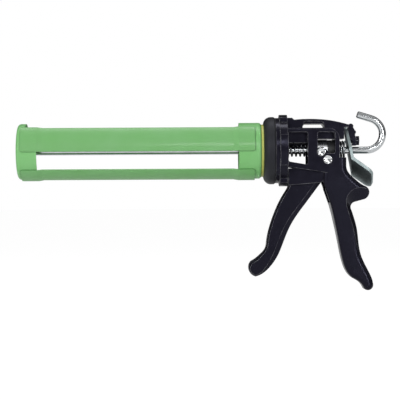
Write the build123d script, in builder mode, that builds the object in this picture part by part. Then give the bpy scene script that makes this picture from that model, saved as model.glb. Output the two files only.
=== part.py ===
from build123d import *
import os
from math import cos, radians, sin, tan, sqrt, pi

# Cartridge caulking gun with a turning cradle, a forked trigger and a smooth push rod.
# Frame: X runs along the rod from the front cap's face to the hook, Z is up, and the
# side with the rails faces -Y. Angles round the rod are counted from +Z towards -Y.

# Cradle
barrel_length = 242.2
cap_radius = 27.85
cap_wall = 1.3
front_corner = 3.5
rear_corner = 2.4
front_rim_depth = 8.2
front_skirt_depth = 20.4
rear_cap_depth = 22.2
nozzle_slot_radius = 9.5
rail_wall = 1.4
rail_arc = 55.8
rail_gap_arc = 40.1
rail_front = 4.2
rail_rear = 6.5
rail_corner = 2.0
joggle_step = 0.9
joggle_length = 5.0
closed_side_angle = 111.5

# Swivel
washer_thickness = 2.2
washer_radius = 26.2
collar_radius = 33.6
collar_length = 11.7
collar_front_round = 7.4
collar_rear_round = 2.0
spigot_radius = 15.0
retainer_radius = 20.0
retainer_thickness = 3.0
retainer_screw_circle = 11.0
retainer_screw_radius = 2.0
retainer_screw_length = 9.0
collar_screw_circle = 22.0
collar_screw_radius = 2.5
collar_screw_length = 16.0
screw_head_height = 2.4
bush_radius = 6.5
bush_flange = 1.2

# Push rod and plunger
rod_radius = 3.55
rod_tip = 2.6
rod_thread_radius = 2.6
hook_radius = 16.1
hook_arc = 163.0
hook_end = 14.6
hook_behind_swivel = 103.3
plunger_front = 5.6
plunger_radius = 22.5
plunger_depth = 5.4
plunger_wall = 1.4
backing_radius = 15.0
backing_thickness = 2.2
nut_across_flats = 10.0
front_nut_height = 2.6
rear_nut_height = 4.0

# Casting, measured back from the swivel face, which is the collar's front
neck_radius = 32.6
ring_front = 15.9
ring_back = 23.5
ring_radius = 31.5
lug_radius = 35.7
lug_width = 30.0
front_wall = 1.0
body_half_width = 18.7
cheek_wall = 3.2
top_bar_half_width = 12.5
cheek_top = 21.8
rear_wall_front = 70.5
rear_wall_back = 74.9
pivot_x, pivot_z = 63.1, -9.6
stud_x, stud_z = 57.2, -1.8
pivot_pin_radius = 3.0
pin_head_radius = 4.3
pin_head_height = 1.5
pin_dish_radius = 2.6
pin_dish_depth = 0.6
handle_half_width = 13.5
heel_half_width = 12.5
shoulder_z = -24.0
waist_z = -78.0
heel_z = -150.0
seam_front_z = -16.3
cheek_round = 1.6
bar_back = 80.0
bar_foot = 11.2
rib_top = 32.2
cavity_foot = -38.0
channel_depth = 5.5
channel_length = 14.0
pillar_front = 43.6
pillar_back = 53.2
spring_ceiling = 7.5
window_top = 18.0
far_window_top = 2.5
window_round = 2.0
slot_foot = 22.2
slot_top = 26.2
slot_recess_top = 28.6
slot_recess_depth = 2.5
slot_round = 0.9
claw_x = 90.8
claw_strip = 3.8
claw_half_width = 4.5
claw_foot = 4.6
handle_round = 5.0
palm_flat = 8.0
palm_past_side = 1.3
palm_far = 130.0

# Trigger
grip_half_width = 12.5
grip_bevel_depth = 2.8
grip_rear_bevel = 5.6
grip_front_bevel = 1.6
block_foot = -26.0

# Drive
arm_room = 1.9
arm_wall = 2.6
arm_nose_radius = 5.0
arm_boss_radius = 6.6
arm_root_radius = 3.0
stud_radius = 2.5
arm_gap = 0.4
sleeve_front = 48.0
sleeve_back = 63.6
plate_thickness = 2.4
plate_room = 0.5
plate_tilt = 4.0
seat_thickness = 1.5
seat_radius = 7.0
cup_wall = 1.3
cup_depth = 6.8
wing_lap = 3.2
wing_front = 48.5
wing_foot = -7.5
wing_top = 4.0
plate_first = 50.0
plate_step = 2.75
plate_play = 0.28

# Springs
drive_wire = 1.9
drive_coil_radius = 5.3
drive_turns = 4.5
release_wire = 1.9
release_coil_radius = 8.8
release_turns = 2.25
release_end = 82.0

# Release lever
lever_x = 86.4
lever_tilt = 10.5
lever_thickness = 2.8
hinge_z = 21.2
hinge_bead_radius = 1.5
lever_top_half_width = 4.5
lever_half_width = 16.0
tab_length = 24.2
tab_drop = 35.8
tab_near_z = -8.0
tab_far_z = -24.0
tab_corner = 7.5
stop_z = 9.6
stop_radius = 2.5
stop_head_across = 9.0
stop_head_height = 3.1
lever_hole_radius = 4.45
lever_hole_up = 0.16

# Clearances
running = 0.06
seat_gap = 0.1
side_gap = 0.3
slot_gap = 0.5

# Positions along the rod that follow from the sizes above
swivel = barrel_length + washer_thickness + seat_gap
casting_front = swivel + collar_length
wall_back = swivel + ring_back + front_wall
pivot = (swivel + pivot_x, pivot_z)
stud = (swivel + stud_x, stud_z)
cheek_inner = body_half_width - cheek_wall
palm_reach = body_half_width + palm_past_side
block_half_width = cheek_inner - side_gap
arm_outer = cheek_inner - arm_room
arm_inner = arm_outer - arm_wall
wing_outer = arm_inner + wing_lap
sleeve_radius = arm_inner - arm_gap
cup_radius = sleeve_radius - cup_wall
plate_radius = cup_radius - plate_room
rail_span = 2 * rail_arc + rail_gap_arc
open_arc = 360 - rail_span
rail_starts = {
    "upper_rail": closed_side_angle - rail_span / 2,
    "lower_rail": closed_side_angle + rail_gap_arc / 2,
}
hook_x = swivel + hook_behind_swivel
claw_under = hinge_z + hinge_bead_radius + side_gap
pin_relief = pivot_z + pivot_pin_radius + slot_gap
lean = radians(lever_tilt)


def around(angle):
    """Unit vector square to the rod at an angle from +Z towards -Y."""
    return Vector(0, -sin(radians(angle)), cos(radians(angle)))


def radial_plane(angle):
    """Plane through the rod axis whose local x is X and local y points out at the angle."""
    return Plane(origin=(0, 0, 0), x_dir=(1, 0, 0), z_dir=Vector(1, 0, 0).cross(around(angle)))


def body_point(x, z):
    """A point of the casting's side view, given back from the swivel face."""
    return (swivel + x, z)


def lever_spot(y, z):
    """A point of the release lever's middle plane at a width and a height."""
    return Vector(swivel + lever_x - z * tan(lean), y, z)


def behind_lever(z):
    """A point of the side view a slot's gap behind the release lever."""
    return (lever_spot(0, z).X + lever_thickness / (2 * cos(lean)) + slot_gap, z)


def write(piece, name):
    """Label a finished piece and write it to its own file."""
    piece.part.label = name
    export_step(piece.part, f"parts/{name}.step")


def ring_edge(piece, x, radius):
    """The circular edge of a turned piece at a place along the rod and a radius."""
    circles = piece.edges().filter_by(GeomType.CIRCLE)
    return circles.filter_by(lambda e: abs(e.center().X - x) + abs(e.radius - radius) < running)


def coil_points(start_x, pitch, radius, turns, start_angle):
    """Points and tangents of a helix round the rod, one for each quarter turn."""
    rise = pitch / (2 * pi)
    points = []
    for step in range(round(turns * 4) + 1):
        turn = radians(start_angle) + step * pi / 2
        along = start_x + pitch * step / 4
        place = Vector(along, -radius * sin(turn), radius * cos(turn))
        heading = Vector(rise, -radius * cos(turn), -radius * sin(turn)).normalized()
        points.append((place, heading))
    return points


def least_gap(start_x, pitch, radius, turns, wire):
    """Smallest distance between neighbouring turns of a coil, measured on points."""
    steps = 48
    rise = pitch / (2 * pi)
    spots = []
    for step in range(int(turns * steps) + 1):
        turn = 2 * pi * step / steps
        spots.append(Vector(start_x + rise * turn, -radius * sin(turn), radius * cos(turn)))
    apart = [
        (spots[j] - spots[i]).length
        for i in range(len(spots))
        for j in range(i + steps // 2, len(spots))
    ]
    return min(apart) - wire


os.makedirs("parts", exist_ok=True)

# Front cap: a drawn cup with a deep skirt under the rails and a nozzle slot on the open side
with BuildPart() as front_cap:
    with BuildSketch(Plane.XZ):
        with BuildLine():
            Polyline(
                (0, 0), (0, cap_radius), (front_skirt_depth, cap_radius),
                (front_skirt_depth, cap_radius - cap_wall), (cap_wall, cap_radius - cap_wall),
                (cap_wall, 0),
                close=True,
            )
        make_face()
    revolve(axis=Axis.X)
    fillet(ring_edge(front_cap, 0, cap_radius), front_corner)
    fillet(ring_edge(front_cap, cap_wall, cap_radius - cap_wall), front_corner - cap_wall)
    with BuildSketch(radial_plane(closed_side_angle + rail_span / 2)):
        with Locations((front_rim_depth, cap_radius - 2 * cap_wall)):
            Rectangle(front_skirt_depth, 3 * cap_wall, align=(Align.MIN, Align.MIN))
    revolve(axis=Axis.X, revolution_arc=open_arc, mode=Mode.SUBTRACT)
    slot_plane = Plane(
        origin=(-cap_wall, 0, 0), x_dir=around(closed_side_angle + 180), z_dir=(1, 0, 0)
    )
    with BuildSketch(slot_plane):
        Circle(nozzle_slot_radius)
        Rectangle(2 * cap_radius, 2 * nozzle_slot_radius, align=(Align.MIN, Align.CENTER))
    extrude(amount=front_skirt_depth, mode=Mode.SUBTRACT)
write(front_cap, "front_cap")

# Rear cap: a drawn cup with a hub hole that turns on the collar's spigot
with BuildPart() as rear_cap:
    with BuildSketch(Plane.XZ):
        with BuildLine():
            Polyline(
                (barrel_length, spigot_radius), (barrel_length, cap_radius),
                (barrel_length - rear_cap_depth, cap_radius),
                (barrel_length - rear_cap_depth, cap_radius - cap_wall),
                (barrel_length - cap_wall, cap_radius - cap_wall),
                (barrel_length - cap_wall, spigot_radius),
                close=True,
            )
        make_face()
    revolve(axis=Axis.X)
    fillet(ring_edge(rear_cap, barrel_length, cap_radius), rear_corner)
    fillet(ring_edge(rear_cap, barrel_length - cap_wall, cap_radius - cap_wall), rear_corner - cap_wall)
write(rear_cap, "rear_cap")

# Rails: rolled strips that lie over both caps and are joggled inwards between them
rail_end = barrel_length - rail_rear
rail_seat = cap_radius + running
front_joggle = front_skirt_depth + side_gap
rear_joggle = barrel_length - rear_cap_depth - side_gap
for name, start_angle in rail_starts.items():
    with BuildPart() as rail:
        with BuildSketch(radial_plane(start_angle)):
            inner_line = [
                (rail_front, rail_seat), (front_joggle, rail_seat),
                (front_joggle + joggle_length, rail_seat - joggle_step),
                (rear_joggle - joggle_length, rail_seat - joggle_step),
                (rear_joggle, rail_seat), (rail_end, rail_seat),
            ]
            outer_line = [(x, r + rail_wall) for x, r in reversed(inner_line)]
            with BuildLine():
                Polyline(*inner_line, *outer_line, close=True)
            make_face()
        revolve(axis=Axis.X, revolution_arc=rail_arc)
        short = rail.edges().filter_by(lambda e: abs(e.length - rail_wall) < rail_wall / 20)
        ends = short.filter_by(
            lambda e: min(e.center().X - rail_front, rail_end - e.center().X) < rail_wall / 20
        )
        fillet(ends, rail_corner)
    write(rail, name)

# Thrust washer between the turning cap and the collar
with BuildPart() as thrust_washer:
    with BuildSketch(Plane.YZ.offset(barrel_length + seat_gap)):
        Circle(washer_radius)
        Circle(spigot_radius + running, mode=Mode.SUBTRACT)
    extrude(amount=washer_thickness)
write(thrust_washer, "thrust_washer")

# Swivel collar with its spigot, bush bore and screw holes
spigot_end = barrel_length - cap_wall - seat_gap
collar_screw_head = 1.7 * collar_screw_radius
with BuildPart() as swivel_collar:
    with BuildSketch(Plane.XZ):
        with BuildLine():
            Polyline(
                (spigot_end, 0), (spigot_end, spigot_radius - running), (swivel, spigot_radius - running),
                (swivel, collar_radius), (casting_front, collar_radius), (casting_front, 0),
                close=True,
            )
        make_face()
    revolve(axis=Axis.X)
    fillet(ring_edge(swivel_collar, swivel, collar_radius), collar_front_round)
    fillet(ring_edge(swivel_collar, casting_front, collar_radius), collar_rear_round)
    with BuildSketch(Plane.YZ.offset(spigot_end)):
        Circle(bush_radius)
        with PolarLocations(retainer_screw_circle, 3, start_angle=90):
            Circle(retainer_screw_radius)
    extrude(amount=casting_front - spigot_end, mode=Mode.SUBTRACT)
    with BuildSketch(Plane.YZ.offset(swivel)):
        with PolarLocations(collar_screw_circle, 4, start_angle=45):
            Circle(collar_screw_radius)
    extrude(amount=collar_length, mode=Mode.SUBTRACT)
    with BuildSketch(Plane.YZ.offset(swivel)):
        with PolarLocations(collar_screw_circle, 4, start_angle=45):
            Circle(collar_screw_head)
    extrude(amount=screw_head_height, mode=Mode.SUBTRACT)
write(swivel_collar, "swivel_collar")

# Retainer disc inside the rear cap, which keeps the cradle on the spigot
retainer_front = spigot_end - retainer_thickness
with BuildPart() as cradle_retainer:
    with BuildSketch(Plane.YZ.offset(retainer_front)):
        Circle(retainer_radius)
        Circle(rod_radius + slot_gap, mode=Mode.SUBTRACT)
        with PolarLocations(retainer_screw_circle, 3, start_angle=90):
            Circle(retainer_screw_radius, mode=Mode.SUBTRACT)
    extrude(amount=retainer_thickness)
    chamfer(cradle_retainer.edges().group_by(Axis.X)[0].sort_by(SortBy.LENGTH)[-1], retainer_thickness / 4)
write(cradle_retainer, "cradle_retainer")


def socket_screws(circle, count, start_angle, head_x, radius, length):
    """Socket-headed screws on a circle round the rod, heads forward, as separate solids."""
    head_radius = 1.7 * radius
    with BuildPart() as screws:
        with BuildSketch(Plane.YZ.offset(head_x)):
            with PolarLocations(circle, count, start_angle=start_angle):
                Circle(head_radius)
        extrude(amount=screw_head_height)
        with BuildSketch(Plane.YZ.offset(head_x + screw_head_height)):
            with PolarLocations(circle, count, start_angle=start_angle):
                Circle(radius)
        extrude(amount=length)
        with BuildSketch(Plane.YZ.offset(head_x)):
            with PolarLocations(circle, count, start_angle=start_angle):
                RegularPolygon(0.9 * radius, 6)
        extrude(amount=0.6 * screw_head_height, mode=Mode.SUBTRACT)
    return screws


retainer_screws = socket_screws(
    retainer_screw_circle, 3, 90, retainer_front - screw_head_height,
    retainer_screw_radius, retainer_screw_length,
)
write(retainer_screws, "retainer_screws")
collar_screws = socket_screws(collar_screw_circle, 4, 45, swivel, collar_screw_radius, collar_screw_length)
write(collar_screws, "collar_screws")

# Front rod bush, whose flange is the drive spring's front seat
spring_front = wall_back + bush_flange
with BuildPart() as front_rod_bush:
    with BuildSketch(Plane.YZ.offset(spigot_end)):
        Circle(bush_radius)
    extrude(amount=wall_back - spigot_end)
    with BuildSketch(Plane.YZ.offset(wall_back)):
        Circle(drive_coil_radius + drive_wire)
    extrude(amount=bush_flange)
    with BuildSketch(Plane.YZ.offset(spigot_end)):
        Circle(rod_radius + running)
    extrude(amount=spring_front - spigot_end, mode=Mode.SUBTRACT)
write(front_rod_bush, "front_rod_bush")

# Palm bevel: the rear outline of the casting, and where the bevel's slope would end past its sides
palm_outline = (
    (107.5, -40.0), (101.0, -49.2), (91.0, -51.8), (87.0, -55.5), (88.0, -61.0),
    (92.6, -77.0), (96.8, -104.0), (105.1, -122.0), (109.0, -133.0), (110.5, -142.0),
)
palm_crease = (
    (107.5, -34.0), (97.0, -34.6), (86.5, -37.5), (80.0, -46.0), (79.5, -58.0),
    (83.5, -78.0), (88.0, -104.0), (96.5, -123.0), (103.0, -133.0), (105.0, -142.0),
)


def palm_cut(points):
    """What the palm bevel takes away behind a curve of the side view."""
    curve = [body_point(*point) for point in points]
    far = swivel + palm_far
    with BuildSketch(Plane.XZ) as view:
        with BuildLine():
            Spline(*curve)
            Polyline(curve[-1], (far, curve[-1][1]), (far, curve[0][1]), curve[0])
        make_face()
    return view.sketch


# Body casting: side view of the cheeks and the handle, cut to its front view
crotch = body_point(58.3, -31.7)
with BuildPart() as body_casting:
    with BuildSketch(Plane.XZ):
        with BuildLine():
            Polyline(
                crotch, body_point(58.3, -21.8), body_point(ring_back, seam_front_z),
                body_point(ring_back, cheek_top), body_point(64.0, cheek_top),
            )
            ThreePointArc(
                body_point(64.0, cheek_top), body_point(70.6, 19.6), body_point(rear_wall_back, bar_foot)
            )
            Polyline(
                body_point(rear_wall_back, bar_foot), body_point(rear_wall_back, -7.5),
                body_point(81.8, -7.5), body_point(81.8, -15.0),
            )
            Spline(
                body_point(81.8, -15.0), body_point(89.5, -28.0), body_point(101.0, -36.0),
                tangents=((0, -1), (1, -0.35)),
            )
            ThreePointArc(body_point(101.0, -36.0), body_point(104.7, -42.0), body_point(100.5, -48.8))
            Line(body_point(100.5, -48.8), body_point(91.2, -51.3))
            ThreePointArc(body_point(91.2, -51.3), body_point(86.7, -54.8), body_point(87.5, -60.4))
            Spline(
                body_point(87.5, -60.4), body_point(92.2, -77.0), body_point(96.4, -104.0),
                body_point(104.7, -122.0), body_point(108.3, -132.4),
                tangents=((0.3, -1), (0.1, -1)),
            )
            ThreePointArc(body_point(108.3, -132.4), body_point(105.6, -139.0), body_point(99.2, -137.6))
            Spline(
                body_point(99.2, -137.6), body_point(95.0, -131.6), body_point(88.6, -127.6),
                tangents=((-0.4, 1), (-1, 0.55)),
            )
            Spline(
                body_point(88.6, -127.6), body_point(78.2, -111.0), body_point(74.2, -92.0),
                body_point(68.1, -62.4), crotch,
                tangents=((-1, 0.6), (-0.35, 1)),
            )
        make_face()
    extrude(amount=body_half_width, both=True)
    with BuildSketch(Plane.YZ):
        with BuildLine():
            FilletPolyline(
                (0, cheek_top), (body_half_width, cheek_top), (body_half_width, shoulder_z),
                radius=cheek_round,
            )
            Spline(
                (body_half_width, shoulder_z), (handle_half_width, waist_z), (heel_half_width, heel_z),
                tangents=((0, -1), (0, -1)),
            )
            Line((heel_half_width, heel_z), (0, heel_z))
            Line((0, heel_z), (0, cheek_top))
        make_face()
        mirror(about=Plane.YZ)
    extrude(amount=2 * hook_x, mode=Mode.INTERSECT)
    outline = body_casting.edges().filter_by(lambda e: abs(e.center().Y) > heel_half_width / 2)
    outline = outline.filter_by(lambda e: e.bounding_box().size.Z > side_gap)
    handle_edges = outline.filter_by(lambda e: e.center().Z < shoulder_z)
    fillet(handle_edges, handle_round)

    # Palm side: bevelled from under the tail down to the heel, wider where the casting is wider
    palm_flat_cut, palm_side_cut = palm_cut(palm_outline), palm_cut(palm_crease)
    for side in (-1, 1):
        faces = [Pos(0, side * palm_flat, 0) * palm_flat_cut, Pos(0, side * palm_reach, 0) * palm_side_cut]
        add(loft(faces, ruled=True), mode=Mode.SUBTRACT)

    # Top bar, from the rib behind the lug ring to the neck of the keeper claw
    with BuildSketch(Plane.XZ):
        with BuildLine():
            Polyline(
                body_point(84.6, claw_under), body_point(bar_back, claw_under),
                body_point(bar_back, bar_foot),
                body_point(rear_wall_front, bar_foot), body_point(ring_back, bar_foot),
                body_point(ring_back, rib_top), body_point(28.4, rib_top), body_point(30.4, 30.3),
            )
            ThreePointArc(body_point(30.4, 30.3), body_point(48.0, 31.0), body_point(66.0, 29.6))
            ThreePointArc(body_point(66.0, 29.6), body_point(75.5, 27.7), body_point(84.6, 25.2))
            Line(body_point(84.6, 25.2), body_point(84.6, claw_under))
        make_face()
    extrude(amount=top_bar_half_width, both=True)

    # Keeper claw, which hooks down close behind the release lever
    with BuildSketch(Plane.XZ):
        with BuildLine():
            Polyline(
                body_point(84.6, 25.2), body_point(88.6, 25.0), body_point(91.4, 20.0),
                body_point(claw_x + claw_strip / 2, claw_foot),
                body_point(claw_x - claw_strip / 2, claw_foot),
                body_point(claw_x - claw_strip / 2, stop_z), behind_lever(stop_z + stop_radius),
                behind_lever(hinge_z - 2 * hinge_bead_radius), body_point(84.6, claw_under), close=True,
            )
        make_face()
        for spot, radius in ((body_point(87.4, 24.0), 2.6), (body_point(90.4, 18.0), 2.2)):
            with Locations(spot):
                Circle(radius)
    extrude(amount=claw_half_width, both=True)

    # Neck and lug ring in front of the cheeks
    with BuildSketch(Plane.YZ.offset(casting_front)):
        Circle(neck_radius)
    extrude(amount=ring_front - collar_length)
    with BuildSketch(Plane.YZ.offset(swivel + ring_front)):
        Rectangle(lug_width, 2 * lug_radius)
        Rectangle(2 * lug_radius, lug_width)
        Circle(lug_radius, mode=Mode.INTERSECT)
        Circle(ring_radius)
    extrude(amount=ring_back - ring_front)

    # Hollow between the cheeks, low over the spring and higher over the sleeve
    sleeve_ceiling = sleeve_radius + slot_gap
    with BuildSketch(Plane.XZ):
        with BuildLine():
            Polyline(
                (wall_back, cavity_foot), body_point(rear_wall_front, cavity_foot),
                body_point(rear_wall_front, sleeve_ceiling), body_point(pillar_front, sleeve_ceiling),
                body_point(pillar_front, spring_ceiling), (wall_back, spring_ceiling), close=True,
            )
        make_face()
    extrude(amount=cheek_inner, both=True, mode=Mode.SUBTRACT)

    # Channel in the front of the handle for the squeezed trigger
    with BuildSketch(Plane.XZ):
        with Locations(body_point(pivot_x, cavity_foot)):
            Rectangle(2 * channel_depth, channel_length, align=(Align.CENTER, Align.MAX))
    extrude(amount=grip_half_width + slot_gap, both=True, mode=Mode.SUBTRACT)

    # Windows in both cheeks, the spring's lower on the far one
    for side, spring_window_top in ((-1, window_top), (1, far_window_top)):
        with BuildSketch(Plane.XZ.offset(-side * arm_inner)):
            with BuildLine():
                FilletPolyline(
                    (wall_back, -11.2), body_point(pillar_front, -14.5),
                    body_point(pillar_front, spring_window_top), (wall_back, spring_window_top),
                    radius=window_round, close=True,
                )
            make_face()
            with BuildLine():
                FilletPolyline(
                    body_point(pillar_back, -3.4), body_point(rear_wall_front, -3.4),
                    body_point(rear_wall_front, window_top), body_point(pillar_back, window_top),
                    radius=window_round, close=True,
                )
            make_face()
            with Locations(stud):
                Circle(pin_head_radius + slot_gap)
        extrude(amount=-side * body_half_width, mode=Mode.SUBTRACT)

    # Hanging slot through the top bar, with a recess over its mouth on each face
    slot_faces = (
        (slot_top, 0, body_half_width),
        (slot_recess_top, top_bar_half_width - slot_recess_depth, slot_recess_depth + cheek_wall),
    )
    for top, inner, depth in slot_faces:
        for side in (-1, 1):
            with BuildSketch(Plane.XZ.offset(-side * inner)):
                with BuildLine():
                    FilletPolyline(
                        body_point(38.2, slot_foot), body_point(61.2, slot_foot),
                        body_point(58.8, top), body_point(40.6, top), radius=slot_round, close=True,
                    )
                make_face()
            extrude(amount=-side * depth, mode=Mode.SUBTRACT)

    # Bores for the bushes, the release spring, the pivot pin and the screws
    with BuildSketch(Plane.YZ.offset(casting_front)):
        Circle(bush_radius)
    extrude(amount=rear_wall_back - collar_length, mode=Mode.SUBTRACT)
    with BuildSketch(Plane.YZ.offset(swivel + rear_wall_back)):
        Circle(release_coil_radius + release_wire)
    extrude(amount=release_end - rear_wall_back, mode=Mode.SUBTRACT)
    with BuildSketch(Plane.XZ):
        with Locations(pivot):
            Circle(pivot_pin_radius)
    extrude(amount=body_half_width, both=True, mode=Mode.SUBTRACT)
    with BuildSketch(Plane.YZ.offset(casting_front)):
        with PolarLocations(collar_screw_circle, 4, start_angle=45):
            Circle(collar_screw_radius)
    extrude(amount=collar_screw_length + screw_head_height - collar_length, mode=Mode.SUBTRACT)
    with BuildSketch(Plane.YZ.offset(lever_spot(0, stop_z).X)):
        with Locations((0, stop_z)):
            Circle(stop_radius)
    extrude(amount=claw_x + claw_strip - lever_x + stop_radius, mode=Mode.SUBTRACT)
write(body_casting, "body_casting")

# Rear rod bush: a black guide seated in the rear wall
with BuildPart() as rear_rod_bush:
    with BuildSketch(Plane.YZ.offset(swivel + sleeve_back + slot_gap)):
        Circle(sleeve_radius - side_gap)
    extrude(amount=rear_wall_front - sleeve_back - slot_gap)
    with BuildSketch(Plane.YZ.offset(swivel + rear_wall_front)):
        Circle(bush_radius)
    extrude(amount=rear_wall_back - rear_wall_front)
    with BuildSketch(Plane.YZ.offset(swivel + sleeve_back)):
        Circle(rod_radius + running)
    extrude(amount=rear_wall_back - sleeve_back, mode=Mode.SUBTRACT)
    with BuildSketch(Plane.XZ):
        with Locations((swivel + sleeve_back, pin_relief)):
            Rectangle(rear_wall_front - sleeve_back, sleeve_radius, align=(Align.MIN, Align.MAX))
    extrude(amount=sleeve_radius, both=True, mode=Mode.SUBTRACT)
write(rear_rod_bush, "rear_rod_bush")


def rivet(place, radius, inner, outer, ends):
    """A pin across the gun with a dished head at each of its ends, from inner to outer in Y."""
    with BuildPart() as pin:
        with BuildSketch(Plane.XZ.offset(-inner)):
            with Locations(place):
                Circle(radius)
        extrude(amount=inner - outer)
        for end in ends:
            head = -outer if end > 0 else -inner
            with BuildSketch(Plane.XZ.offset(head)):
                with Locations(place):
                    Circle(pin_head_radius)
            extrude(amount=-end * pin_head_height)
            with BuildSketch(Plane.XZ.offset(head - end * pin_head_height)):
                with Locations(place):
                    Circle(pin_dish_radius)
            extrude(amount=end * pin_dish_depth, mode=Mode.SUBTRACT)
        rims = pin.edges().filter_by(GeomType.CIRCLE)
        outermost = max(abs(e.center().Y) for e in rims)
        rims = rims.filter_by(lambda e: abs(e.center().Y) > outermost - running)
        rims = rims.filter_by(lambda e: e.radius > pin_dish_radius)
        fillet(rims, pin_head_height / 2)
    return pin


trigger_pivot_pin = rivet(pivot, pivot_pin_radius, -body_half_width, body_half_width, (-1, 1))
write(trigger_pivot_pin, "trigger_pivot_pin")


def grip_outline(rear, front):
    """The side view of the trigger's grip, drawn in by a bevel at its rear and at its front."""
    heel, tip = -98.4, -125.2
    with BuildSketch(Plane.XZ) as view:
        with BuildLine():
            Polyline(
                body_point(56.8 - rear, -32.4), body_point(50.0 - rear, block_foot),
                body_point(24.4 + front, block_foot), body_point(24.4 + front, -36.4),
            )
            Spline(
                body_point(24.4 + front, -36.4), body_point(19.0 + front, -45.4),
                body_point(10.8 + front, -62.4), body_point(4.8 + front, -80.4),
                body_point(2.4 + front, -94.0 + front / 2),
                tangents=((-0.5, -1), (-0.1, -1)),
            )
            Spline(
                body_point(2.4 + front, -94.0 + front / 2), body_point(-3.4 + front, -103.4 - front / 2),
                body_point(-12.6 + front, -110.2 - front),
                tangents=((-0.1, -1), (-1, -0.45)),
            )
            ThreePointArc(
                body_point(-12.6 + front, -110.2 - front), body_point(-15.0 + front, -119.2),
                body_point(-8.4, tip + front),
            )
            Spline(
                body_point(-8.4, tip + front), body_point(5.2 - rear / 2, -116.4 + rear / 3),
                body_point(16.4 - rear, heel),
                tangents=((1, 0.25), (0.4, 1)),
            )
            Spline(
                body_point(16.4 - rear, heel), body_point(26.5 - rear, -74.4),
                body_point(43.2 - rear, -50.4), body_point(56.8 - rear, -32.4),
                tangents=((0.4, 1), (0.8, 1)),
            )
        make_face()
    return view.sketch


# Trigger: a grip with bevelled sides, a block between the cheeks and two arms past the rod
grip_full, grip_flat = grip_outline(0, 0), grip_outline(grip_rear_bevel, grip_front_bevel)
grip_shoulder = grip_half_width - grip_bevel_depth
with BuildPart() as trigger:
    add(extrude(grip_full, amount=grip_shoulder, both=True))
    for side in (-1, 1):
        shoulder = Pos(0, side * grip_shoulder, 0) * grip_full
        add(loft([shoulder, Pos(0, side * grip_half_width, 0) * grip_flat], ruled=True))
    with BuildSketch(Plane.XZ):
        with BuildLine():
            Polyline(
                body_point(24.4, -18.0), body_point(50.0, -18.0), body_point(60.0, -16.5),
                body_point(66.0, -16.5), body_point(65.5, -20.0), body_point(58.4, -31.0),
                body_point(56.6, -32.0), body_point(24.4, -34.5), close=True,
            )
        make_face()
    extrude(amount=block_half_width, both=True)
    with BuildSketch(Plane.XZ):
        with Locations(body_point(ring_back, block_foot)):
            Rectangle(rear_wall_front - ring_back, -block_foot, align=(Align.MIN, Align.MIN))
    extrude(amount=arm_inner - side_gap, both=True, mode=Mode.SUBTRACT)
    for side in (-1, 1):
        with BuildSketch(Plane.XZ.offset(-side * arm_inner)):
            for place, radius in (
                (stud, arm_nose_radius), (pivot, arm_boss_radius),
                (body_point(55.0, -21.0), arm_root_radius), (body_point(60.5, -23.0), arm_root_radius),
            ):
                with Locations(place):
                    Circle(radius)
            make_hull()
        extrude(amount=-side * arm_wall)
    with BuildSketch(Plane.XZ):
        with Locations(pivot):
            Circle(pivot_pin_radius + running)
        with Locations(stud):
            Circle(stud_radius)
    extrude(amount=body_half_width, both=True, mode=Mode.SUBTRACT)
write(trigger, "trigger")

# Drive studs in the noses of the two arms, heads outwards
with BuildPart() as drive_studs:
    for side in (-1, 1):
        inner, outer = sorted((side * arm_inner, side * arm_outer))
        add(rivet(stud, stud_radius, inner, outer, (side,)).part)
write(drive_studs, "drive_studs")

# Drive sleeve: a cup for the gripping plates with two wings the arms push on
wing_length = stud_x - arm_nose_radius - side_gap - wing_front
relief_length = sleeve_back - sleeve_front - cup_depth - seat_thickness
with BuildPart() as drive_sleeve:
    with BuildSketch(Plane.YZ.offset(swivel + sleeve_front)):
        Circle(sleeve_radius)
    extrude(amount=sleeve_back - sleeve_front)
    with BuildSketch(Plane.YZ.offset(swivel + wing_front)):
        with Locations((0, wing_foot)):
            Rectangle(2 * wing_outer, wing_top - wing_foot, align=(Align.CENTER, Align.MIN))
    extrude(amount=wing_length)
    with BuildSketch(Plane.YZ.offset(swivel + sleeve_front)):
        Circle(cup_radius)
    extrude(amount=cup_depth, mode=Mode.SUBTRACT)
    with BuildSketch(Plane.YZ.offset(swivel + sleeve_front)):
        Circle(rod_radius + running)
    extrude(amount=sleeve_back - sleeve_front, mode=Mode.SUBTRACT)
    with BuildSketch(Plane.XZ):
        with Locations((swivel + sleeve_back, pin_relief)):
            Rectangle(relief_length, sleeve_radius, align=(Align.MAX, Align.MAX))
    extrude(amount=sleeve_radius, both=True, mode=Mode.SUBTRACT)
write(drive_sleeve, "drive_sleeve")

# Gripping plates, tilted on the rod
for step, name in enumerate(("front_gripping_plate", "rear_gripping_plate")):
    middle = swivel + plate_first + step * plate_step
    tilted = Plane(origin=(middle, 0, 0), z_dir=(cos(radians(plate_tilt)), 0, sin(radians(plate_tilt))))
    with BuildPart() as plate:
        with BuildSketch(tilted):
            Circle(plate_radius)
            Circle(rod_radius + plate_play, mode=Mode.SUBTRACT)
        extrude(amount=plate_thickness / 2, both=True)
    write(plate, name)

# Washer between the drive spring and the gripping plates
seat_front = swivel + sleeve_front - side_gap + seat_gap - seat_thickness
with BuildPart() as spring_seat_washer:
    with BuildSketch(Plane.YZ.offset(seat_front)):
        Circle(seat_radius)
        Circle(rod_radius + running, mode=Mode.SUBTRACT)
    extrude(amount=seat_thickness)
write(spring_seat_washer, "spring_seat_washer")


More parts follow.
